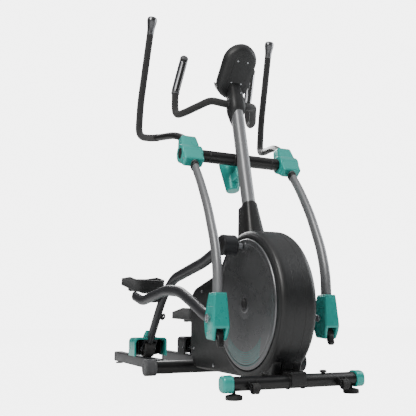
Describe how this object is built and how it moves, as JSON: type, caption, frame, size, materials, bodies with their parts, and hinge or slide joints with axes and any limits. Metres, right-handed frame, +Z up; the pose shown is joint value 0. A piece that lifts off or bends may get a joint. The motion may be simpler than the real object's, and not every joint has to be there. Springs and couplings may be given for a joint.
{
  "type": "elliptical trainer",
  "caption": "Front-drive elliptical trainer with swing arms, fixed pulse handles, console, drum housing, rolling pedal arms and rear rails.",
  "frame": {"origin": "on the floor, at the middle of the plan", "axes": "+Z up, +Y to the rear (the user faces -Y), +X to the user's left"},
  "size_m": [0.708, 1.86, 1.7109],
  "materials": {
    "black_tube": "satin powder coat",
    "charcoal_tube": "satin powder coat",
    "silver_paint": "metallic satin paint",
    "disc_silver": "metallic paint on moulded plastic",
    "teal_plastic": "satin moulded plastic",
    "charcoal_plastic": "fine grained moulded plastic",
    "black_plastic": "fine grained moulded plastic",
    "grey_plastic": "satin moulded plastic",
    "black_foam": "closed-cell foam sleeve",
    "black_rubber": "moulded rubber",
    "belt_rubber": "ribbed rubber",
    "chrome": "polished",
    "bare_steel": "machined",
    "screen_glass": "clear window over a dark display"
  },
  "bodies": {
    "frame": {"front_stabiliser": "black_tube", "front_end_caps": "teal_plastic", "main_frame": "black_tube", "mid_stabiliser": "black_tube", "mid_end_caps": "charcoal_plastic", "rail_right": "charcoal_tube", "rail_left": "charcoal_tube", "rail_end_caps": "charcoal_plastic", "rear_feet": "black_rubber", "housing_right": "charcoal_plastic", "housing_left": "charcoal_plastic", "housing_band": "black_plastic", "mast_cover": "black_plastic", "mast": "silver_paint", "cross_axle": "black_tube", "handlebar": "black_foam", "pulse_grips": "chrome", "clamp_cover": "charcoal_plastic", "console_back": "charcoal_plastic", "console_face": "black_plastic", "screen": "screen_glass", "bottle_holder": "teal_plastic", "crank_bearings": "bare_steel", "drive_belt": "belt_rubber", "magnet_bracket": "black_tube"},
    "swing_arm_right": {"upper_bracket_right": "teal_plastic", "swing_tube_right": "silver_paint", "handle_right": "black_foam", "handle_cap_right": "grey_plastic", "yoke_right": "teal_plastic", "yoke_pin_right": "bare_steel"},
    "foot_link_right": {"foot_link_right": "charcoal_tube", "pedal_right": "charcoal_plastic"},
    "pedal_arm_right": {"pedal_arm_right": "charcoal_tube", "roller_guard_right": "teal_plastic"},
    "roller_right": {"roller_right": "black_rubber"},
    "transport_wheel_right": {"transport_wheel_right": "black_rubber"},
    "front_foot_right": {"front_foot_right": "black_rubber"},
    "swing_arm_left": {"upper_bracket_left": "teal_plastic", "swing_tube_left": "silver_paint", "handle_left": "black_foam", "handle_cap_left": "grey_plastic", "yoke_left": "teal_plastic", "yoke_pin_left": "bare_steel"},
    "foot_link_left": {"foot_link_left": "charcoal_tube", "pedal_left": "charcoal_plastic"},
    "pedal_arm_left": {"pedal_arm_left": "charcoal_tube", "roller_guard_left": "charcoal_plastic"},
    "roller_left": {"roller_left": "black_rubber"},
    "transport_wheel_left": {"transport_wheel_left": "black_rubber"},
    "front_foot_left": {"front_foot_left": "black_rubber"},
    "crank": {"crank_axle": "bare_steel", "crank_disc_right": "disc_silver", "crank_disc_left": "disc_silver", "drive_pulley": "black_plastic"},
    "flywheel": {"flywheel": "bare_steel", "flywheel_axle": "bare_steel"},
    "start_button": {"start_button": "teal_plastic"},
    "up_button": {"up_button": "grey_plastic"},
    "down_button": {"down_button": "grey_plastic"}
  },
  "joints": [
    {"name": "swing_arm_right", "type": "hinge", "parent": "frame", "child": "swing_arm_right", "pos_m": [-0.234, -0.461, 0.948], "axis": [1, 0, 0], "range_deg": [-14, 14]},
    {"name": "foot_link_right", "type": "hinge", "parent": "swing_arm_right", "child": "foot_link_right", "pos_m": [-0.234, -0.727, 0.265], "axis": [1, 0, 0], "range_deg": [-14, 14]},
    {"name": "pedal_arm_right", "type": "slide", "parent": "frame", "child": "pedal_arm_right", "axis": [0, 1, 0], "range_m": [-0.1613, 0.1613]},
    {"name": "roller_right", "type": "hinge", "parent": "pedal_arm_right", "child": "roller_right", "pos_m": [-0.154, 0.331, 0.115], "axis": [1, 0, 0], "range_deg": [-220, 220]},
    {"name": "swing_arm_left", "type": "hinge", "parent": "frame", "child": "swing_arm_left", "pos_m": [0.234, -0.461, 0.948], "axis": [1, 0, 0], "range_deg": [-14, 14]},
    {"name": "foot_link_left", "type": "hinge", "parent": "swing_arm_left", "child": "foot_link_left", "pos_m": [0.234, -0.727, 0.265], "axis": [1, 0, 0], "range_deg": [-14, 14]},
    {"name": "pedal_arm_left", "type": "slide", "parent": "frame", "child": "pedal_arm_left", "axis": [0, 1, 0], "range_m": [-0.1706, 0.1706]},
    {"name": "roller_left", "type": "hinge", "parent": "pedal_arm_left", "child": "roller_left", "pos_m": [0.154, 0.42183, 0.115], "axis": [1, 0, 0], "range_deg": [-220, 220]},
    {"name": "crank", "type": "hinge", "parent": "frame", "child": "crank", "pos_m": [0, -0.64, 0.322], "axis": [1, 0, 0], "continuous": true},
    {"name": "flywheel", "type": "hinge", "parent": "frame", "child": "flywheel", "pos_m": [0, -0.3, 0.25], "axis": [1, 0, 0], "continuous": true},
    {"name": "transport_wheel_right", "type": "hinge", "parent": "frame", "child": "transport_wheel_right", "pos_m": [-0.178, -0.912, 0.038], "axis": [1, 0, 0], "continuous": true},
    {"name": "front_foot_right", "type": "hinge", "parent": "frame", "child": "front_foot_right", "pos_m": [-0.235, -0.87, 0], "axis": [0, 0, 1], "range_deg": [-360, 360]},
    {"name": "transport_wheel_left", "type": "hinge", "parent": "frame", "child": "transport_wheel_left", "pos_m": [0.178, -0.912, 0.038], "axis": [1, 0, 0], "continuous": true},
    {"name": "front_foot_left", "type": "hinge", "parent": "frame", "child": "front_foot_left", "pos_m": [0.235, -0.87, 0], "axis": [0, 0, 1], "range_deg": [-360, 360]},
    {"name": "start_button", "type": "slide", "parent": "frame", "child": "start_button", "axis": [0, -0.7193, -0.6947], "range_m": [0, 0.0015], "stiffness_N_per_m": 700, "springref_m": -0.001},
    {"name": "up_button", "type": "slide", "parent": "frame", "child": "up_button", "axis": [0, -0.7193, -0.6947], "range_m": [0, 0.0015], "stiffness_N_per_m": 700, "springref_m": -0.001},
    {"name": "down_button", "type": "slide", "parent": "frame", "child": "down_button", "axis": [0, -0.7193, -0.6947], "range_m": [0, 0.0015], "stiffness_N_per_m": 700, "springref_m": -0.001}
  ],
  "couplings": [
    {"joint": "swing_arm_left", "follows": "swing_arm_right", "ratio": -1},
    {"joint": "foot_link_right", "follows": "swing_arm_right", "ratio": -0.67913},
    {"joint": "foot_link_left", "follows": "swing_arm_right", "ratio": 0.68237},
    {"joint": "pedal_arm_right", "follows": "swing_arm_right", "m_per_rad": 0.65188},
    {"joint": "pedal_arm_left", "follows": "swing_arm_right", "m_per_rad": -0.68985},
    {"joint": "roller_right", "follows": "swing_arm_right", "ratio": -14.079},
    {"joint": "roller_left", "follows": "swing_arm_right", "ratio": 14.9},
    {"joint": "flywheel", "follows": "crank", "ratio": 6}
  ]
}
